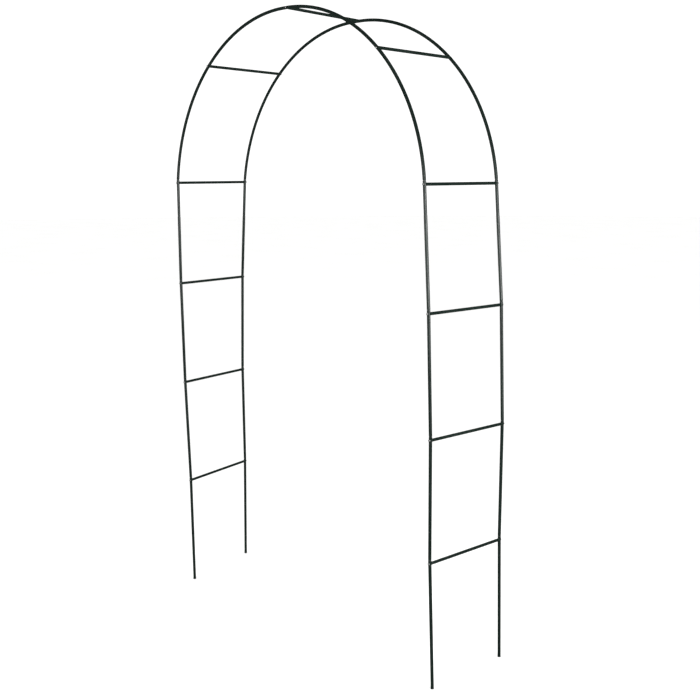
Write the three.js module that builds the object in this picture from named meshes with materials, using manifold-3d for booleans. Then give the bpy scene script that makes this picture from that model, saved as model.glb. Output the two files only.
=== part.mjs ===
// A garden rose arch: two hoops of thin steel tube, joined by rungs.
//
// Each hoop is a chain of tubes. The lower end of every tube is drawn down to a plug, which
// slips into the open top of the tube below. At each of these joints a rung crosses to the
// other hoop, held by one screw that passes through the socket, the plug and into the rung.
//
// Millimetres. +Z is up and +X is to the right as seen from the front. The hoops stand in planes
// of constant Y. The origin is on the ground, in the middle of the walkway.
import * as THREE from 'three';
import { mergeVertices } from 'three/addons/utils/BufferGeometryUtils.js';
import Module from 'manifold-3d';

const wasm = await Module();
wasm.setup();

// Driving dimensions: the two hoops. Half widths and rung heights run from the ground upwards,
// to the centre line of the tube. The rear hoop stands a little wider than the front one, so its
// crown is a little lower. The front hoop's feet stand `footShift` to the right of the middle, and
// its legs lean left by `lean` for each millimetre of height. `apex` is the joint at the top, and
// `archRadius` is the bend of the arch's centre line on each side of it.
const hoopSpacing = 361;
const rungHeights = [461, 902, 1335, 1762];
const hoops = [
  {
    name: 'front',
    facing: -1,
    halfWidths: [704, 698, 706, 703, 690],
    footShift: 31,
    lean: 0.0232,
    apex: { x: 11, z: 2393 },
    archRadius: { left: 696, right: 674 },
  },
  {
    name: 'rear',
    facing: 1,
    halfWidths: [756, 745, 747, 732, 700],
    footShift: 0,
    lean: 0,
    apex: { x: 26, z: 2379 },
    archRadius: { left: 714, right: 675 },
  },
];
const sides = [
  { name: 'left', sign: -1 },
  { name: 'right', sign: 1 },
];

// Driving dimensions: tube, joint and screw sections.
const tubeRadius = 6;
const rungRadius = 5.5;
const wall = 0.8;
const clearance = 0.3;
const plugLength = 24;
const screwInset = plugLength / 2;
const neckLength = 4;
const shoulderLength = 2.5;
const insertDepth = 12;
const footTrim = 3;
const screw = {
  shankRadius: 1.9,
  length: 22,
  headRadius: 3.9,
  headHeight: 2.4,
  rimHeight: 1.5,
  crownRadius: 2.4,
};

// Round sections are polygons with the area of the true circle.
const tubeFacets = 8;
const archSteps = 12;
const facetAngle = (2 * Math.PI) / tubeFacets;
const facetRadius = (radius) => radius * Math.sqrt(facetAngle / Math.sin(facetAngle));

// Sizes that follow from them.
const boreRadius = tubeRadius - wall;
const plugRadius = boreRadius - clearance;
const neckRadius = (tubeRadius + boreRadius) / 2;
const shoulderRadius = tubeRadius - clearance / 2;
const shoulderSetback = 0.3;
const neckSetback = 0.8;
const screwHoleRadius = screw.shankRadius + clearance;
const screwHoleReach = 2 * tubeRadius;
const groundBlock = 10 * tubeRadius;
const standOff = facetRadius(tubeRadius) + clearance;
const quarterTurn = Math.PI / 2;
const up = new THREE.Vector3(0, 0, 1);
const across = new THREE.Vector3(0, 1, 0);

const legNames = ['foot', 'lower', 'middle', 'upper'];
const rungNames = ['bottom', 'lower', 'upper', 'springing'];

const coatedSteel = { color: 0x1c2e28, roughness: 0.42, metalness: 0.25 };
const zincSteel = { color: 0xb9bcbb, roughness: 0.35, metalness: 0.9 };

// Solids: a closed geometry becomes a manifold-3d solid, and a solid becomes a geometry again.
function toSolid(geometry) {
  const bare = geometry.clone();
  bare.deleteAttribute('normal');
  bare.deleteAttribute('uv');
  const merged = mergeVertices(bare, 1e-5);
  const vertProperties = new Float32Array(merged.attributes.position.array);
  const triVerts = new Uint32Array(merged.index.array);
  return new wasm.Manifold(new wasm.Mesh({ numProp: 3, vertProperties, triVerts }));
}

function toGeometry(solid) {
  const { vertProperties, triVerts } = solid.getMesh();
  const geometry = new THREE.BufferGeometry();
  geometry.setAttribute('position', new THREE.BufferAttribute(new Float32Array(vertProperties), 3));
  geometry.setIndex(new THREE.BufferAttribute(new Uint32Array(triVerts), 1));
  const flat = geometry.toNonIndexed();
  flat.computeVertexNormals();
  return flat;
}

function namedMesh(name, geometry, look) {
  const mesh = new THREE.Mesh(geometry, new THREE.MeshStandardMaterial(look));
  mesh.name = name;
  return mesh;
}

// The outline of a round section, with a flat towards each side of the hoop.
function ring(radius) {
  const points = [];
  for (let i = 0; i < tubeFacets; i += 1) {
    const angle = (i + 0.5) * facetAngle;
    const corner = new THREE.Vector2(Math.cos(angle), Math.sin(angle));
    points.push(corner.multiplyScalar(facetRadius(radius)));
  }
  return points;
}

// A turned shape about Z, from pairs of radius and height.
function turned(profile) {
  const points = profile.map(([radius, height]) => new THREE.Vector2(facetRadius(radius), height));
  const geometry = new THREE.LatheGeometry(points, tubeFacets, Math.PI / tubeFacets);
  return geometry.rotateX(quarterTurn);
}

// A curved tube's centre line: it starts at the origin, going up +Z, and bends towards X.
class BendLine extends THREE.Curve {
  constructor(radius, firstAngle, lastAngle, bend) {
    super();
    Object.assign(this, { radius, firstAngle, lastAngle, bend });
  }

  getPoint(t, target = new THREE.Vector3()) {
    const angle = THREE.MathUtils.lerp(this.firstAngle, this.lastAngle, t);
    return target.set(this.bend * this.radius * (1 - Math.cos(angle)), 0, this.radius * Math.sin(angle));
  }
}

// A hollow tube swept along a centre line, open at both ends.
function hollowSweep(path, steps) {
  const section = new THREE.Shape(ring(tubeRadius));
  section.holes.push(new THREE.Path(ring(boreRadius)));
  return new THREE.ExtrudeGeometry(section, { extrudePath: path, steps, bevelEnabled: false });
}

// The drawn-down end of a tube: a neck sunk in the tube's own wall, a cone for a shoulder, and the
// plug. Its axis leaves `mouth`, the centre of the neighbour's socket mouth, at `tilt` from +Z
// about Y. The tube's full section ends `bodyGap` short of the mouth.
function plugSolid(mouth, tilt, bodyGap) {
  const neckEnd = -bodyGap - neckSetback;
  const geometry = turned([
    [plugRadius - wall, neckEnd - neckLength],
    [neckRadius, neckEnd - neckLength],
    [neckRadius, neckEnd],
    [shoulderRadius, -bodyGap - shoulderSetback],
    [plugRadius, shoulderLength - bodyGap],
    [plugRadius, plugLength],
    [plugRadius - wall, plugLength],
    [plugRadius - wall, neckEnd - neckLength],
  ]);
  geometry.rotateY(tilt).translate(mouth.x, mouth.y, mouth.z);
  return toSolid(geometry);
}

// The hole for one screw, through both walls of a tube.
function screwHole(centre, direction) {
  const geometry = turned([
    [0, -screwHoleReach],
    [screwHoleRadius, -screwHoleReach],
    [screwHoleRadius, screwHoleReach],
    [0, screwHoleReach],
  ]);
  geometry.applyQuaternion(new THREE.Quaternion().setFromUnitVectors(up, direction));
  geometry.translate(centre.x, centre.y, centre.z);
  return toSolid(geometry);
}

// How far a tube's full section ends short of its neighbour's mouth, where the two meet at a kink.
const jointGap = (kink) => shoulderLength + clearance + facetRadius(tubeRadius) * Math.sin(Math.abs(kink));

const tiltOf = (from, to) => Math.atan2(to.x - from.x, to.z - from.z);

function along(from, tilt, distance) {
  const direction = new THREE.Vector3(Math.sin(tilt), 0, Math.cos(tilt));
  return direction.multiplyScalar(distance).add(from);
}

// The x of a hoop's middle line at a height.
const middleAt = (hoop, height) => hoop.footShift - hoop.lean * height;

// One side's arc of the arch, from the mouth of the leg up to a point near the crown. Angles on it
// are measured from straight above its centre, towards its own side.
function archArc(side, radius, legMouth, top) {
  const chord = top.clone().sub(legMouth);
  const reach = Math.sqrt(radius ** 2 - chord.lengthSq() / 4);
  const inward = new THREE.Vector3(-chord.z, 0, chord.x).normalize();
  const middle = legMouth.clone().add(top).divideScalar(2);
  const centre = middle.addScaledVector(inward, side.sign * reach);
  return {
    radius,
    inset: screwInset / radius,
    angleOf: (point) => Math.atan2(side.sign * (point.x - centre.x), point.z - centre.z),
    at: (angle) => new THREE.Vector3(
      centre.x + side.sign * radius * Math.sin(angle),
      0,
      centre.z + radius * Math.cos(angle),
    ),
    tiltAt: (angle) => -side.sign * (quarterTurn - angle),
  };
}

// Where everything on one hoop goes, in the hoop's own plane. A joint's `centre` is on the screw's
// axis; its `mouth` is the socket's open end, where the chain kinks.
function layOutHoop(hoop) {
  const joints = {};
  const tubes = [];
  const legs = {};
  for (const side of sides) {
    const levels = [0, ...rungHeights];
    const legPoint = (i) => {
      const x = middleAt(hoop, levels[i]) + side.sign * hoop.halfWidths[i];
      return new THREE.Vector3(x, 0, levels[i]);
    };
    let below = legPoint(0);
    let tiltBelow = null;
    let jointBelow = null;
    legNames.forEach((legName, i) => {
      const centre = legPoint(i + 1);
      const tilt = tiltOf(below, centre);
      const mouth = along(centre, tilt, screwInset);
      const joint = `${side.name}_${rungNames[i]}`;
      joints[joint] = centre;
      tubes.push({
        name: `${hoop.name}_${side.name}_${legName}_tube`,
        start: below,
        tilt,
        length: below.distanceTo(mouth),
        lowerPlug: tiltBelow,
        holes: [jointBelow, joint],
      });
      below = mouth;
      tiltBelow = tilt;
      jointBelow = joint;
    });
    legs[side.name] = { mouth: below, tilt: tiltBelow, joint: jointBelow };
  }

  // The right arc runs from its leg to the apex joint, and the left one from its leg to the mouth
  // of the socket at the apex, which is the right crown tube's.
  const [left, right] = sides;
  const apex = new THREE.Vector3(hoop.apex.x, 0, hoop.apex.z);
  const rightArc = archArc(right, hoop.archRadius.right, legs.right.mouth, apex);
  const apexMouth = rightArc.at(rightArc.angleOf(apex) - rightArc.inset);
  const leftArc = archArc(left, hoop.archRadius.left, legs.left.mouth, apexMouth);
  joints.apex = apex;
  let apexPlug;
  for (const [side, arc] of [[right, rightArc], [left, leftArc]]) {
    const leg = legs[side.name];
    const archJoint = `${side.name}_arch`;
    const legAngle = arc.angleOf(leg.mouth);
    const topAngle = arc.angleOf(apexMouth);
    const jointAngle = (legAngle + topAngle + side.sign * arc.inset) / 2;
    const mouthAngle = jointAngle - arc.inset;
    const shoulderSweep = legAngle - mouthAngle;
    const crownSweep = mouthAngle - topAngle;
    joints[archJoint] = arc.at(jointAngle);
    tubes.push({
      name: `${hoop.name}_${side.name}_shoulder_tube`,
      start: leg.mouth,
      tilt: arc.tiltAt(legAngle),
      bend: { radius: arc.radius, sweep: shoulderSweep, sign: -side.sign },
      lowerPlug: leg.tilt,
      holes: [leg.joint, archJoint],
    });
    const crown = {
      name: `${hoop.name}_${side.name}_crown_tube`,
      start: arc.at(mouthAngle),
      tilt: arc.tiltAt(mouthAngle),
      bend: { radius: arc.radius, sweep: crownSweep, sign: -side.sign },
      lowerPlug: arc.tiltAt(mouthAngle + shoulderSweep / archSteps / 2),
      holes: [archJoint, 'apex'],
    };
    // The left crown tube has a plug at both ends; its upper one fits the right crown tube's socket.
    if (side === right) {
      apexPlug = arc.tiltAt(topAngle + crownSweep / archSteps / 2) + Math.PI;
    } else {
      crown.upperPlug = apexPlug;
    }
    tubes.push(crown);
  }
  return { joints, tubes };
}

const arch = new THREE.Group();
const layouts = hoops.map(layOutHoop);

// The world point of a joint on one hoop.
const jointPoint = (hoopIndex, joint) => layouts[hoopIndex].joints[joint].clone()
  .setY((hoops[hoopIndex].facing * hoopSpacing) / 2);

// A rung, and so both of its screws, lies along the line from the front joint to the rear one.
const rungDirection = (joint) => jointPoint(1, joint).sub(jointPoint(0, joint)).normalize();

function tubeGeometry(tube) {
  const local = (point) => point.clone().sub(tube.start).applyAxisAngle(across, -tube.tilt);
  const lowerKink = tube.lowerPlug === null ? 0 : tube.lowerPlug - tube.tilt;
  const lowerGap = tube.lowerPlug === null ? -footTrim : jointGap(lowerKink);
  let body;
  let topEnd;
  let upperKink = 0;
  let upperGap = 0;
  if (tube.bend) {
    const { radius, sweep, sign } = tube.bend;
    const topTilt = sign * sweep;
    if (tube.upperPlug !== undefined) {
      upperKink = tube.upperPlug - tube.tilt - topTilt;
      upperGap = jointGap(upperKink);
    }
    const path = new BendLine(radius, lowerGap / radius, sweep - upperGap / radius, sign);
    topEnd = new BendLine(radius, 0, sweep, sign).getPoint(1);
    body = toSolid(hollowSweep(path, archSteps));
  } else {
    const bottom = up.clone().multiplyScalar(lowerGap);
    const top = up.clone().multiplyScalar(tube.length);
    body = toSolid(hollowSweep(new THREE.LineCurve3(bottom, top), 1));
  }
  if (tube.lowerPlug === null) {
    // A foot starts a little too long and is cut level with the ground.
    const ground = new THREE.BoxGeometry(groundBlock, groundBlock, groundBlock)
      .translate(0, 0, -groundBlock / 2)
      .rotateY(-tube.tilt);
    body = body.subtract(toSolid(ground));
  } else {
    body = body.add(plugSolid(new THREE.Vector3(), lowerKink + Math.PI, lowerGap));
  }
  if (tube.upperPlug !== undefined) {
    body = body.add(plugSolid(topEnd, tube.upperPlug - tube.tilt, upperGap));
  }
  for (const joint of tube.holes.filter(Boolean)) {
    const direction = rungDirection(joint).applyAxisAngle(across, -tube.tilt);
    body = body.subtract(screwHole(local(tube.jointCentres[joint]), direction));
  }
  return toGeometry(body);
}

function buildHoop(hoop, layout) {
  const group = new THREE.Group();
  group.position.y = (hoop.facing * hoopSpacing) / 2;
  for (const tube of layout.tubes) {
    tube.jointCentres = layout.joints;
    const mesh = namedMesh(tube.name, tubeGeometry(tube), coatedSteel);
    mesh.position.copy(tube.start);
    mesh.rotation.y = tube.tilt;
    group.add(mesh);
  }
  return group;
}

// A rung: a tube whose ends are filled by threaded inserts.
function rungGeometry(length) {
  return turned([
    [screwHoleRadius, 0],
    [rungRadius, 0],
    [rungRadius, length],
    [screwHoleRadius, length],
    [screwHoleRadius, length - insertDepth],
    [rungRadius - wall, length - insertDepth],
    [rungRadius - wall, insertDepth],
    [screwHoleRadius, insertDepth],
    [screwHoleRadius, 0],
  ]);
}

// A pan-head screw. The underside of its head is at the origin and its shank points up +Z.
function screwGeometry() {
  return turned([
    [0, -screw.headHeight],
    [screw.crownRadius, -screw.headHeight],
    [screw.headRadius, -screw.rimHeight],
    [screw.headRadius, 0],
    [screw.shankRadius, 0],
    [screw.shankRadius, screw.length],
    [0, screw.length],
  ]);
}

function buildRung(joint, name) {
  const front = jointPoint(0, joint);
  const rear = jointPoint(1, joint);
  const direction = rungDirection(joint);
  const mesh = namedMesh(name, rungGeometry(front.distanceTo(rear) - 2 * standOff), coatedSteel);
  mesh.position.copy(front).addScaledVector(direction, standOff);
  mesh.quaternion.setFromUnitVectors(up, direction);
  return mesh;
}

function buildScrew(hoopIndex, joint) {
  const hoop = hoops[hoopIndex];
  const inward = rungDirection(joint).multiplyScalar(-hoop.facing);
  const mesh = namedMesh(`${hoop.name}_${joint}_screw`, screwGeometry(), zincSteel);
  mesh.position.copy(jointPoint(hoopIndex, joint)).addScaledVector(inward, -standOff);
  mesh.quaternion.setFromUnitVectors(up, inward);
  return mesh;
}

hoops.forEach((hoop, i) => arch.add(buildHoop(hoop, layouts[i])));
for (const joint of Object.keys(layouts[0].joints)) {
  arch.add(buildRung(joint, `${joint}_rung`));
  arch.add(buildScrew(0, joint));
  arch.add(buildScrew(1, joint));
}

export default arch;
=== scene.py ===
"""Looks for the garden rose arch: fine tubes, rungs, inserts and screws around the CAD frame."""
import math

import bmesh
import bpy
from mathutils import Matrix, Vector


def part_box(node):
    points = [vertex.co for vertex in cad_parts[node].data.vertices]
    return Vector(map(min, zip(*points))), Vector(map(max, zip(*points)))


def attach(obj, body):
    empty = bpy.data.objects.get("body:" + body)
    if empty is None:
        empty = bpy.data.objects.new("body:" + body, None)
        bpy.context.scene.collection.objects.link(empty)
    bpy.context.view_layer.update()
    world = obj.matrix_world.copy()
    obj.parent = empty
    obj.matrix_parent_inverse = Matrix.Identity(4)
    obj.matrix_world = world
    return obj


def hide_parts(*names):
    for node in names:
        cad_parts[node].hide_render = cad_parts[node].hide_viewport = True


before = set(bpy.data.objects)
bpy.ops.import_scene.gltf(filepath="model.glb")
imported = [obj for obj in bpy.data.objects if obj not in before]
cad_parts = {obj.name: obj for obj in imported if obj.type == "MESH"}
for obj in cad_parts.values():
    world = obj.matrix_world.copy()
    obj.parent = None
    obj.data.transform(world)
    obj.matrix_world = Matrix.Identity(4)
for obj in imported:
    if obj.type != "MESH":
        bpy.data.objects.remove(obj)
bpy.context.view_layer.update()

MM = 0.001

# Tube sections and joints. PLUG_GAP is the room that a plug's shoulder leaves at the mouth.
TUBE_RADIUS = 6.0 * MM
RUNG_RADIUS = 5.5 * MM
WALL = 0.8 * MM
FIT = 0.3 * MM
PLUG_LENGTH = 24 * MM
SCREW_INSET = PLUG_LENGTH / 2
SHOULDER_LENGTH = 2.5 * MM
PLUG_GAP = SHOULDER_LENGTH + FIT
RIM_BEVEL = 0.18 * MM

# Rungs and inserts. A rung's ends sit on a hoop tube at SEAT_RADIUS from its centre line.
SEAT_RADIUS = TUBE_RADIUS + 0.04 * MM
RUB_LENGTH = 0.8 * MM
INSERT_DEPTH = 12 * MM
INSERT_EDGE = 0.3 * MM

# The pan-head screw and the cross in its head, which narrows from the mouth to the floor.
HEAD_RADIUS = 3.9 * MM
HEAD_HEIGHT = 2.4 * MM
HEAD_SIDE = 1.1 * MM
HEAD_FLAT = 0.32
HEAD_EDGE = 0.1 * MM
SHANK_RADIUS = 1.95 * MM
SCREW_LENGTH = 22 * MM
TIP_CHAMFER = 0.5 * MM
CROSS_DEPTH = 1.6 * MM
CROSS_MOUTH = (2.15 * MM, 0.42 * MM)
CROSS_FLOOR = (1.15 * MM, 0.32 * MM)

# Fineness of the meshes.
TUBE_SIDES = 28
ARCH_STEP = math.radians(1.0)
SCREW_SIDES = 40
DOME_STEPS = 7

# The room's strength as light, and as it shows in reflections. Softboxes stand around the arch:
# name, bearing in degrees from the front, and watts.
ROOM_LIGHT = 1.16
ROOM_GLOSS = 0.08
SOFTBOXES = (("key", 8, 34), ("fill", 82, 100))
SOFTBOX_DISTANCE = 3.4
SOFTBOX_HEIGHT = 1.62
SOFTBOX_SIZE = (2.2, 0.8)

HOOPS = ("front", "rear")
SIDES = {"left": -1, "right": 1}
LEG_TUBES = ("foot", "lower", "middle", "upper")
LEG_RUNGS = ("bottom", "lower", "upper", "springing")

Y = Vector((0, 1, 0))
Z = Vector((0, 0, 1))


# ---------------------------------------------------------------- materials

def new_material(name):
    """A material with its node tree and its Principled shader."""
    material = bpy.data.materials.new(name)
    material.use_nodes = True
    tree = material.node_tree
    shader = tree.nodes["Principled BSDF"]
    return material, tree, shader


def noise(tree, scale, detail=3.0, roughness=0.5):
    """Noise in the object's own metres; returns its grey output."""
    coords = tree.nodes.new("ShaderNodeTexCoord")
    texture = tree.nodes.new("ShaderNodeTexNoise")
    texture.inputs["Scale"].default_value = scale
    texture.inputs["Detail"].default_value = detail
    texture.inputs["Roughness"].default_value = roughness
    tree.links.new(coords.outputs["Object"], texture.inputs["Vector"])
    return texture.outputs["Fac"]


def ramp(tree, source, low, high, start=0.0, end=1.0):
    """Maps a grey value from start..end onto low..high."""
    node = tree.nodes.new("ShaderNodeMapRange")
    node.inputs["From Min"].default_value = start
    node.inputs["From Max"].default_value = end
    node.inputs["To Min"].default_value = low
    node.inputs["To Max"].default_value = high
    tree.links.new(source, node.inputs["Value"])
    return node.outputs["Result"]


def multiply(tree, a, b):
    node = tree.nodes.new("ShaderNodeMath")
    node.operation = "MULTIPLY"
    tree.links.new(a, node.inputs[0])
    tree.links.new(b, node.inputs[1])
    return node.outputs["Value"]


def mix_colour(tree, factor, a, b):
    """Mixes two colours, each a tuple or a socket."""
    node = tree.nodes.new("ShaderNodeMix")
    node.data_type = "RGBA"
    tree.links.new(factor, node.inputs["Factor"])
    for value, socket in ((a, node.inputs[6]), (b, node.inputs[7])):
        if isinstance(value, tuple):
            socket.default_value = (*value, 1)
        else:
            tree.links.new(value, socket)
    return node.outputs[2]


def mix_value(tree, factor, a, b):
    node = tree.nodes.new("ShaderNodeMix")
    node.data_type = "FLOAT"
    tree.links.new(factor, node.inputs["Factor"])
    tree.links.new(a, node.inputs[2])
    tree.links.new(b, node.inputs[3])
    return node.outputs[0]


def bump(tree, shader, layers):
    """Stacks bumps: each layer is a grey socket and its height in metres."""
    normal = None
    for source, height in layers:
        node = tree.nodes.new("ShaderNodeBump")
        node.inputs["Strength"].default_value = 1.0
        node.inputs["Distance"].default_value = height
        tree.links.new(source, node.inputs["Height"])
        if normal is not None:
            tree.links.new(normal, node.inputs["Normal"])
        normal = node.outputs["Normal"]
    tree.links.new(normal, shader.inputs["Normal"])


def attribute(tree, name):
    """The grey value that the mesh itself carries under a name."""
    node = tree.nodes.new("ShaderNodeAttribute")
    node.attribute_name = name
    return node.outputs["Fac"]


def powder_coat():
    """Dark green powder coat on steel: satin, faintly orange-peeled, rubbed through at the rims."""
    material, tree, shader = new_material("green_powder_coat")
    broad = noise(tree, 9, detail=2)
    grain = noise(tree, 420, detail=2)
    speck = noise(tree, 1500, detail=4, roughness=0.7)
    scuff = noise(tree, 260, detail=5, roughness=0.65)
    deep, light = (0.0030, 0.0080, 0.0060), (0.0046, 0.0118, 0.0088)
    dust = (0.008, 0.018, 0.014)
    steel = (0.26, 0.26, 0.25)
    green = mix_colour(tree, ramp(tree, broad, 0, 1, 0.35, 0.65), deep, light)
    dusty = mix_colour(tree, ramp(tree, grain, 0, 0.35, 0.5, 0.75), green, dust)
    bare = multiply(tree, attribute(tree, "wear"), ramp(tree, scuff, 0, 1, 0.50, 0.62))
    coat = mix_colour(tree, bare, dusty, steel)
    tree.links.new(coat, shader.inputs["Base Color"])
    satin = ramp(tree, broad, 0.27, 0.37, 0.3, 0.7)
    worn = ramp(tree, speck, 0.38, 0.55)
    tree.links.new(mix_value(tree, bare, satin, worn), shader.inputs["Roughness"])
    tree.links.new(bare, shader.inputs["Metallic"])
    shader.inputs["Specular IOR Level"].default_value = 0.4
    bump(tree, shader, [(grain, 0.05 * MM), (speck, 0.008 * MM), (bare, -0.04 * MM)])
    return material


def zinc_plate():
    """Bright zinc plate: cool grey metal with faint clouding and fine turning marks."""
    material, tree, shader = new_material("zinc_plate")
    cloud = noise(tree, 700, detail=3)
    marks = noise(tree, 3500, detail=3, roughness=0.6)
    cool, warm = (0.58, 0.60, 0.61), (0.76, 0.76, 0.73)
    colour = mix_colour(tree, ramp(tree, cloud, 0, 1, 0.35, 0.65), cool, warm)
    tree.links.new(colour, shader.inputs["Base Color"])
    shader.inputs["Metallic"].default_value = 1.0
    tree.links.new(ramp(tree, cloud, 0.24, 0.42, 0.3, 0.7), shader.inputs["Roughness"])
    bump(tree, shader, [(cloud, 0.02 * MM), (marks, 0.006 * MM)])
    return material


def floor_paint():
    """Matt off-white paint, with a broad, faint haze."""
    material, tree, shader = new_material("floor_paint")
    haze = noise(tree, 1.3, detail=2)
    dull, bright = (0.90, 0.90, 0.895), (0.92, 0.92, 0.915)
    colour = mix_colour(tree, ramp(tree, haze, 0, 1, 0.3, 0.7), dull, bright)
    tree.links.new(colour, shader.inputs["Base Color"])
    tree.links.new(ramp(tree, haze, 0.75, 0.85), shader.inputs["Roughness"])
    shader.inputs["Specular IOR Level"].default_value = 0.1
    bump(tree, shader, [(noise(tree, 60), 0.1 * MM)])
    return material


COAT = powder_coat()
ZINC = zinc_plate()


# ---------------------------------------------------------------- mesh tools

def finish_piece(name, mesh, material, nodes=()):
    """Makes an object of a mesh, and ties it to the frame."""
    mesh.materials.append(material)
    piece = bpy.data.objects.new(name, mesh)
    bpy.context.scene.collection.objects.link(piece)
    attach(piece, "root")
    if nodes:
        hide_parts(*nodes)
    return piece


def circle(centre, u, v, radius):
    """The points of one ring, in the plane of two unit vectors."""
    angles = (2 * math.pi * k / TUBE_SIDES for k in range(TUBE_SIDES))
    return [centre + (u * math.cos(angle) + v * math.sin(angle)) * radius for angle in angles]


def skin(name, rings, wear, sharp_angle=math.radians(35)):
    """A closed skin over rings of points, the last of which joins the first."""
    mesh = bpy.data.meshes.new(name)
    form = bmesh.new()
    layer = form.verts.layers.float.new("wear")
    rows = []
    for ring, rub in zip(rings, wear):
        row = [form.verts.new(point) for point in ring]
        for vertex in row:
            vertex[layer] = rub
        rows.append(row)
    for i, row in enumerate(rows):
        following = rows[(i + 1) % len(rows)]
        for k in range(TUBE_SIDES):
            n = (k + 1) % TUBE_SIDES
            form.faces.new((row[k], row[n], following[n], following[k]))
    bmesh.ops.recalc_face_normals(form, faces=form.faces)
    for face in form.faces:
        face.smooth = True
    for edge in form.edges:
        edge.smooth = edge.calc_face_angle(0) < sharp_angle
    form.to_mesh(mesh)
    form.free()
    return mesh


# ---------------------------------------------------------------- where things go

def corners(node):
    return [vertex.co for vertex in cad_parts[node].data.vertices]


def box_centre(points):
    return Vector([(min(p[i] for p in points) + max(p[i] for p in points)) / 2 for i in range(3)])


def end_centre(node, front):
    """The centre of a rung's end face, from the CAD rung's own corners."""
    points = corners(node)
    limit = min(p.y for p in points) if front else max(p.y for p in points)
    return box_centre([p for p in points if abs(p.y - limit) < INSERT_DEPTH / 3])


def foot_centre(node):
    """The centre of a foot's open end, which is cut level with the ground."""
    return box_centre([p for p in corners(node) if p.z < FIT])


JOINT_NAMES = [f"{side}_{rung}" for side in SIDES for rung in (*LEG_RUNGS, "arch")] + ["apex"]


def find_joints():
    """For each joint, the screw axis's point on each hoop's centre line, and the rung's direction."""
    hoop_y = {hoop: sum(c[1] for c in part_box(f"{hoop}_left_foot_tube")) / 2 for hoop in HOOPS}
    joints = {}
    for name in JOINT_NAMES:
        front_end = end_centre(f"{name}_rung", True)
        rear_end = end_centre(f"{name}_rung", False)
        along = (rear_end - front_end).normalized()
        front = front_end + along * ((hoop_y["front"] - front_end.y) / along.y)
        rear = rear_end + along * ((hoop_y["rear"] - rear_end.y) / along.y)
        joints[name] = {"front": front, "rear": rear, "along": along}
    return joints


joints = find_joints()


class Line:
    """A straight centre line; `at` gives the point and the direction at a distance."""

    def __init__(self, start, end):
        self.start = start
        self.direction = (end - start).normalized()
        self.length = (end - start).length

    def at(self, s):
        return self.start + self.direction * s, self.direction

    def stations(self, low, high):
        return [low, high]


class Bend:
    """A circular centre line in a hoop's plane, from one angle off vertical to another."""

    def __init__(self, centre, radius, first, last):
        self.centre, self.radius, self.first = centre, radius, first
        self.turn = 1 if last > first else -1
        self.length = radius * abs(last - first)

    def at(self, s):
        angle = self.first + self.turn * s / self.radius
        outward = Vector((math.sin(angle), 0, math.cos(angle)))
        tangent = Vector((math.cos(angle), 0, -math.sin(angle))) * self.turn
        return self.centre + outward * self.radius, tangent

    def stations(self, low, high):
        count = math.ceil((high - low) / (self.radius * ARCH_STEP))
        return [low + (high - low) * i / count for i in range(count + 1)]


def circle_through(first, middle, last):
    """The centre of the circle through three points of one hoop's plane."""
    rows = []
    sums = []
    for point in (first, last):
        rows.append((2 * (point.x - middle.x), 2 * (point.z - middle.z)))
        sums.append(point.x ** 2 + point.z ** 2 - middle.x ** 2 - middle.z ** 2)
    x, z = Matrix(rows).inverted() @ Vector(sums)
    return Vector((x, middle.y, z))


def bearing_from(centre, point):
    """The angle off vertical of a point of the arch, seen from its arc's centre."""
    return math.atan2(point.x - centre.x, point.z - centre.z)


def lay_out_hoop(hoop):
    """Every tube of a hoop as a centre line from mouth to mouth, with the directions of its plugs.

    It also adds the hoop's direction at each joint to `joints`.
    """
    tubes = {}
    mouths = {}
    plugs = {}
    for side in SIDES:
        below = foot_centre(f"{hoop}_{side}_foot_tube")
        plug = None
        for tube, rung in zip(LEG_TUBES, LEG_RUNGS):
            centre = joints[f"{side}_{rung}"][hoop]
            direction = (centre - below).normalized()
            mouth = centre + direction * SCREW_INSET
            joints[f"{side}_{rung}"][f"{hoop}_axis"] = direction
            path = Line(below, mouth)
            tubes[f"{hoop}_{side}_{tube}_tube"] = {"path": path, "lower": plug, "upper": None}
            below = mouth
            plug = -direction
        mouths[side] = below
        plugs[side] = plug

    # The apex joint is in the right crown tube's socket, so it lies on the right side's arc.
    apex = joints["apex"][hoop]
    right_middle = circle_through(mouths["right"], joints["right_arch"][hoop], apex)
    spoke = apex - right_middle
    apex_mouth = right_middle + Matrix.Rotation(-SCREW_INSET / spoke.length, 3, "Y") @ spoke
    left_middle = circle_through(mouths["left"], joints["left_arch"][hoop], apex_mouth)
    joints["apex"][f"{hoop}_axis"] = Y.cross(apex - right_middle).normalized()
    for (side, sign), middle in zip(SIDES.items(), (left_middle, right_middle)):
        joint = joints[f"{side}_arch"]
        joint[f"{hoop}_axis"] = Y.cross(joint[hoop] - middle).normalized()
        radius = (apex_mouth - middle).length
        shared = bearing_from(middle, joint[hoop]) - sign * SCREW_INSET / radius
        shoulder = Bend(middle, radius, bearing_from(middle, mouths[side]), shared)
        upper = Bend(middle, radius, shared, bearing_from(middle, apex_mouth))
        tubes[f"{hoop}_{side}_shoulder_tube"] = {
            "path": shoulder,
            "lower": plugs[side],
            "upper": None,
        }
        tubes[f"{hoop}_{side}_crown_tube"] = {
            "path": upper,
            "lower": -upper.at(-SCREW_INSET)[1],
            "upper": joints["apex"][f"{hoop}_axis"] if side == "left" else None,
        }
    return tubes


# ---------------------------------------------------------------- tubes

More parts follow.
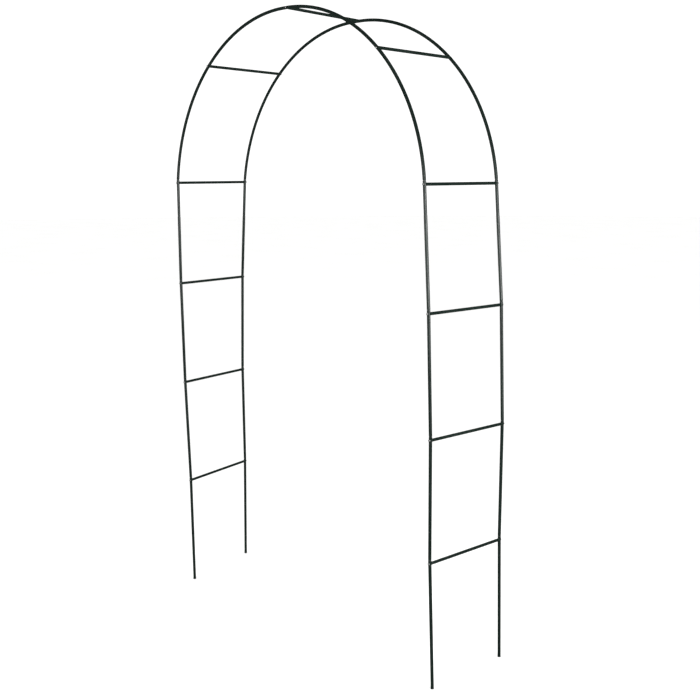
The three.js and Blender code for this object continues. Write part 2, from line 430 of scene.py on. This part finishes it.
def plug_profile(gap):
    """A drawn-down end, from the tube's full section to the plug's tip.

    Gives the distance out from the neighbour's mouth, the radius and the wear of each ring.
    """
    plug_radius = TUBE_RADIUS - WALL - FIT
    rubs = (0.0, 0.05, 0.15, 0.35, 0.6, 0.9, 1.0)
    profile = []
    for i, rub in enumerate(rubs):
        t = i / (len(rubs) - 1)
        ease = t * t * (3 - 2 * t)
        radius = TUBE_RADIUS + (plug_radius - TUBE_RADIUS) * ease
        profile.append((SHOULDER_LENGTH * t - gap, radius, rub))
    profile.append((PLUG_LENGTH - RIM_BEVEL, plug_radius, 1.0))
    profile.append((PLUG_LENGTH, plug_radius - RIM_BEVEL, 1.0))
    return profile


def plug_gap(outward, body_direction):
    """How far the tube's full section stays off the mouth, with more room where the two kink."""
    return PLUG_GAP + TUBE_RADIUS * math.sin(outward.angle(body_direction))


def build_tube(name, tube):
    path = tube["path"]
    bore = TUBE_RADIUS - WALL
    plug_run = 1.0 * MM
    open_run = 2.0 * MM
    lip_run = 0.6 * MM
    outer = []
    inner = []
    wear = []

    def add(point, direction, radius, hole, rub):
        u = Y.cross(direction).normalized()
        outer.append(circle(point, u, Y, radius))
        inner.append(circle(point, u, Y, hole))
        wear.append(rub)

    def add_plug(mouth, outward, direction, profile):
        for out, radius, rub in profile:
            add(mouth + outward * out, direction, radius, min(radius - WALL, bore), rub)

    start, direction = path.at(0)
    if tube["lower"] is not None:
        outward = tube["lower"]
        gap = plug_gap(outward, -direction)
        add_plug(start, outward, -outward, reversed(plug_profile(gap)))
        low = gap + plug_run
    else:
        add(start, Z, TUBE_RADIUS - RIM_BEVEL, bore, 1.0)
        add(start + direction * RIM_BEVEL, Z, TUBE_RADIUS, bore, 1.0)
        low = open_run

    end, direction = path.at(path.length)
    outward = tube["upper"]
    if outward is not None:
        gap = plug_gap(outward, direction)
        high = path.length - gap - plug_run
    else:
        high = path.length - open_run

    for s in path.stations(low, high):
        point, direction = path.at(s)
        add(point, direction, TUBE_RADIUS, bore, 0.0)

    if outward is not None:
        add_plug(end, outward, outward, plug_profile(gap))
    else:
        for back, shrink, rub in ((lip_run, 0, 0.25), (RIM_BEVEL, 0, 0.8), (0, RIM_BEVEL, 1.0)):
            point, direction = path.at(path.length - back)
            add(point, direction, TUBE_RADIUS - shrink, bore, rub)
    mesh = skin(name, outer + inner[::-1], wear + wear[::-1])
    return finish_piece(f"finished_{name}", mesh, COAT, [name])


for hoop in HOOPS:
    for name, tube in lay_out_hoop(hoop).items():
        build_tube(name, tube)


# ---------------------------------------------------------------- rungs, inserts and screws

def cross_axes(direction):
    """Two unit vectors square to a direction and to each other."""
    u = direction.cross(Z).normalized()
    return u, direction.cross(u).normalized()


def saddle(centre, inward, axis, spokes):
    """Where the line through each spoke's tip, along `inward`, leaves the hoop's tube."""
    lean = inward - axis * inward.dot(axis)
    points = []
    for spoke in spokes:
        aside = spoke - axis * spoke.dot(axis)
        half = aside.dot(lean)
        square = half ** 2 - lean.length_squared * (aside.length_squared - SEAT_RADIUS ** 2)
        points.append(centre + spoke + inward * ((math.sqrt(square) - half) / lean.length_squared))
    return points


def build_rung(name, joint):
    """A straight tube between the hoops, with both ends coped to sit on them."""
    u, v = cross_axes(joint["along"])
    rim, wall, bore = (
        circle(Vector(), u, v, radius)
        for radius in (RUNG_RADIUS - RIM_BEVEL, RUNG_RADIUS, RUNG_RADIUS - WALL)
    )
    ends = {}
    mouths = {}
    for hoop, inward in (("front", joint["along"]), ("rear", -joint["along"])):
        seat = (joint[hoop], inward, joint[f"{hoop}_axis"])
        edge = saddle(*seat, wall)
        ends[hoop] = [
            (saddle(*seat, rim), 1.0),
            ([point + inward * RIM_BEVEL for point in edge], 0.7),
            ([point + inward * RUB_LENGTH for point in edge], 0.1),
            ([joint[hoop] + inward * 2 * TUBE_RADIUS + spoke for spoke in wall], 0.0),
        ]
        mouths[hoop] = saddle(*seat, bore)
    outer = ends["front"] + ends["rear"][::-1]
    rings = [ring for ring, rub in outer] + [mouths["rear"], mouths["front"]]
    wear = [rub for ring, rub in outer] + [0.0, 0.0]
    mesh = skin(name, rings, wear)
    return finish_piece(f"finished_{name}", mesh, COAT, [name])


def build_insert(name, centre, inward):
    """The threaded insert pressed into a rung's end, just behind its rim."""
    u, v = cross_axes(inward)
    sliver = 0.02 * MM
    body = RUNG_RADIUS - WALL - sliver
    hole = SHANK_RADIUS + 0.1 * MM
    edge = INSERT_EDGE
    face = SEAT_RADIUS + sliver
    back = face + INSERT_DEPTH
    profile = [
        (face, body - edge), (face + edge, body), (back - edge, body), (back, body - edge),
        (back, hole + edge), (back - edge, hole), (face + edge, hole), (face, hole + edge),
    ]
    rings = [circle(centre + inward * s, u, v, radius) for s, radius in profile]
    return finish_piece(name, skin(name, rings, [0.0] * len(rings)), ZINC)


def screw_profile():
    """Radius and height down a pan-head screw, from its tip to the middle of its head."""
    dome = []
    for i in range(DOME_STEPS + 1):
        angle = math.pi / 2 * i / DOME_STEPS
        radius = HEAD_RADIUS * (HEAD_FLAT + (1 - HEAD_FLAT) * math.cos(angle) ** 0.8)
        dome.append((radius, -HEAD_SIDE - (HEAD_HEIGHT - HEAD_SIDE) * math.sin(angle)))
    return [
        (0, SCREW_LENGTH),
        (SHANK_RADIUS - TIP_CHAMFER, SCREW_LENGTH),
        (SHANK_RADIUS, SCREW_LENGTH - TIP_CHAMFER),
        (SHANK_RADIUS, 0),
        (HEAD_RADIUS - HEAD_EDGE, 0),
        (HEAD_RADIUS, -HEAD_EDGE),
        *dome,
        (0, -HEAD_HEIGHT),
    ]


def screw_mesh():
    """A screw without its cross; the head's underside is at the origin and the shank up +Z."""
    mesh = bpy.data.meshes.new("pan_head_screw")
    form = bmesh.new()
    angles = [2 * math.pi * k / SCREW_SIDES for k in range(SCREW_SIDES)]
    rows = []
    for radius, height in screw_profile():
        if radius == 0:
            points = [(0, 0, height)]
        else:
            points = [(radius * math.cos(a), radius * math.sin(a), height) for a in angles]
        rows.append([form.verts.new(point) for point in points])
    for lower, upper in zip(rows, rows[1:]):
        for k in range(SCREW_SIDES):
            n = (k + 1) % SCREW_SIDES
            below = [lower[k % len(lower)], lower[n % len(lower)]]
            above = [upper[n % len(upper)], upper[k % len(upper)]]
            form.faces.new(list(dict.fromkeys(below + above)))
    bmesh.ops.recalc_face_normals(form, faces=form.faces)
    form.to_mesh(mesh)
    form.free()
    return mesh


def recess_cutter():
    """A tapering cross, as a driver's tip."""
    form = bmesh.new()
    overshoot = 0.4 * MM
    for turn in (0, math.pi / 2):
        block = bmesh.ops.create_cube(form, size=1.0)
        for vertex in block["verts"]:
            deep = vertex.co.z > 0
            reach, half_width = CROSS_FLOOR if deep else CROSS_MOUTH
            vertex.co.x = math.copysign(reach, vertex.co.x)
            vertex.co.y = math.copysign(half_width, vertex.co.y)
            vertex.co.z = -HEAD_HEIGHT + (CROSS_DEPTH if deep else -overshoot)
        bmesh.ops.rotate(form, verts=block["verts"], matrix=Matrix.Rotation(turn, 3, "Z"))
    bmesh.ops.recalc_face_normals(form, faces=form.faces)
    mesh = bpy.data.meshes.new("driver_cross")
    form.to_mesh(mesh)
    form.free()
    return mesh


def finished_screw_mesh():
    """The screw with its recess cut and its edges softened."""
    screw = bpy.data.objects.new("screw_blank", screw_mesh())
    cutter = bpy.data.objects.new("driver_cross", recess_cutter())
    for item in (screw, cutter):
        bpy.context.scene.collection.objects.link(item)
    cut = screw.modifiers.new("recess", "BOOLEAN")
    cut.operation = "DIFFERENCE"
    cut.solver = "EXACT"
    cut.use_self = True
    cut.object = cutter
    soften = screw.modifiers.new("edges", "BEVEL")
    soften.width = 0.06 * MM
    soften.segments = 2
    soften.limit_method = "ANGLE"
    soften.angle_limit = math.radians(40)
    graph = bpy.context.evaluated_depsgraph_get()
    mesh = bpy.data.meshes.new_from_object(screw.evaluated_get(graph))
    for item in (screw, cutter):
        bpy.data.objects.remove(item)
    mesh.shade_smooth()
    mesh.set_sharp_from_angle(angle=math.radians(32))
    mesh.name = "finished_screw"
    return mesh


def build_screw(name, master, centre, inward, turn):
    """A copy of the screw on the outside of a hoop, its cross turned by `turn`."""
    mesh = master.copy()
    sliver = 0.03 * MM
    seat = Matrix.Translation(centre - inward * (TUBE_RADIUS + sliver))
    aim = Z.rotation_difference(inward).to_matrix().to_4x4()
    mesh.transform(seat @ aim @ Matrix.Rotation(turn, 4, "Z"))
    return finish_piece(f"finished_{name}", mesh, ZINC, [name])


# Every screw stopped at a turn of its own.
TURN_BY_JOINT = 2.4
TURN_BY_HOOP = 1.1

screw_master = finished_screw_mesh()
for i, (name, joint) in enumerate(joints.items()):
    build_rung(f"{name}_rung", joint)
    for j, (hoop, inward) in enumerate(zip(HOOPS, (joint["along"], -joint["along"]))):
        build_insert(f"{hoop}_{name}_insert", joint[hoop], inward)
        turn = TURN_BY_JOINT * i + TURN_BY_HOOP * j
        build_screw(f"{hoop}_{name}_screw", screw_master, joint[hoop], inward, turn)


# ---------------------------------------------------------------- stage, light and camera

def build_floor():
    """A wide, plain floor, left out of reflections so that the coat stays dark."""
    radius = 40.0
    mesh = bpy.data.meshes.new("floor")
    form = bmesh.new()
    bmesh.ops.create_circle(form, cap_ends=True, segments=96, radius=radius)
    form.to_mesh(mesh)
    form.free()
    mesh.materials.append(floor_paint())
    floor = bpy.data.objects.new("floor", mesh)
    bpy.context.scene.collection.objects.link(floor)
    floor.visible_glossy = False


def softbox(name, bearing, watts):
    """A softbox at a bearing from the front, facing the middle of the arch."""
    data = bpy.data.lights.new(name, "AREA")
    data.shape = "RECTANGLE"
    data.size, data.size_y = SOFTBOX_SIZE
    data.energy = watts
    lamp = bpy.data.objects.new(name, data)
    outward = Vector((math.sin(bearing), -math.cos(bearing), 0))
    lamp.location = outward * SOFTBOX_DISTANCE + Z * SOFTBOX_HEIGHT
    lamp.rotation_euler = (-outward).to_track_quat("-Z", "Y").to_euler()
    bpy.context.scene.collection.objects.link(lamp)


def light_the_stage():
    """An even white room, with softboxes for the gloss; the room looks dim in reflections."""
    world = bpy.data.worlds.new("studio")
    bpy.context.scene.world = world
    world.use_nodes = True
    tree = world.node_tree
    path = tree.nodes.new("ShaderNodeLightPath")
    room = tree.nodes["Background"]
    room.inputs["Color"].default_value = (1, 1, 1, 1)
    strength = tree.nodes.new("ShaderNodeMapRange")
    strength.inputs["To Min"].default_value = ROOM_LIGHT
    strength.inputs["To Max"].default_value = ROOM_GLOSS
    tree.links.new(path.outputs["Is Glossy Ray"], strength.inputs["Value"])
    tree.links.new(strength.outputs["Result"], room.inputs["Strength"])
    for name, bearing, watts in SOFTBOXES:
        softbox(name, math.radians(bearing), watts)


def place_camera():
    """Eye height, bearing and lens of a standing viewer off the front right corner."""
    distance = 3.981
    bearing = math.radians(46.784)
    eye_height = 1.799
    heading = math.radians(45.297)
    pitch = math.radians(-9.894)
    roll = math.radians(-0.274)
    data = bpy.data.cameras.new("camera")
    data.sensor_width = 36
    data.lens = 52.16
    camera = bpy.data.objects.new("camera", data)
    camera.location = (distance * math.sin(bearing), -distance * math.cos(bearing), eye_height)
    turn = Matrix.Rotation(heading, 4, "Z") @ Matrix.Rotation(math.pi / 2 + pitch, 4, "X")
    camera.rotation_euler = (turn @ Matrix.Rotation(roll, 4, "Z")).to_euler()
    bpy.context.scene.collection.objects.link(camera)
    bpy.context.scene.camera = camera


build_floor()
light_the_stage()
place_camera()
bpy.context.scene.view_settings.view_transform = "Standard"
